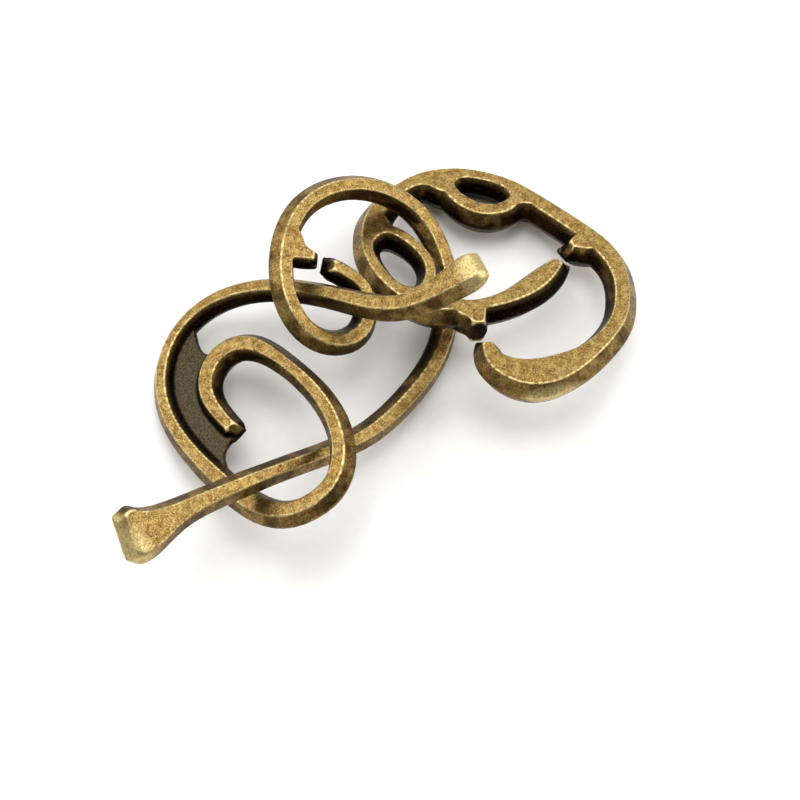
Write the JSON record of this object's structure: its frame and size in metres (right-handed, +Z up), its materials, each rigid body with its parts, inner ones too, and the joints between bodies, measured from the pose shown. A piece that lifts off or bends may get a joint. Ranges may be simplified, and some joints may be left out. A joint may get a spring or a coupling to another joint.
{
  "type": "metal disentanglement puzzle",
  "caption": "Flat cast metal scroll and frame pieces with draft-angled sides, looped through each other as a hand-held disentanglement puzzle, lying tangled on a table.",
  "frame": {"origin": "on the table, under the middle of the tangled puzzle's bounding box", "axes": "+Z up from the table; +Y along the longest extent, from the foot of the ring scroll towards the eye frame; +X towards the foot of the web scroll and the right side of the eye frame"},
  "size_m": [0.0809, 0.083, 0.0268],
  "materials": {
    "antique_bronze": "zinc alloy plated in antique bronze: dark brown recesses, rubbed pale gold edges, satin"
  },
  "bodies": {
    "ring_scroll": {"ring_scroll": "antique_bronze"},
    "web_scroll": {"web_scroll": "antique_bronze"},
    "eye_frame": {"eye_frame": "antique_bronze"}
  },
  "joints": [
    {"name": "web_swing", "type": "hinge", "parent": "ring_scroll", "child": "web_scroll", "pos_m": [-0.01168, -0.00056, 0.01299], "axis": [-0.1647, -0.9845, -0.0596], "range_deg": [0, 75]},
    {"name": "frame_swing", "type": "hinge", "parent": "ring_scroll", "child": "eye_frame", "pos_m": [0.00354, 0.02066, 0.00745], "axis": [-0.5837, -0.7824, 0.2173], "range_deg": [0, 20]}
  ]
}
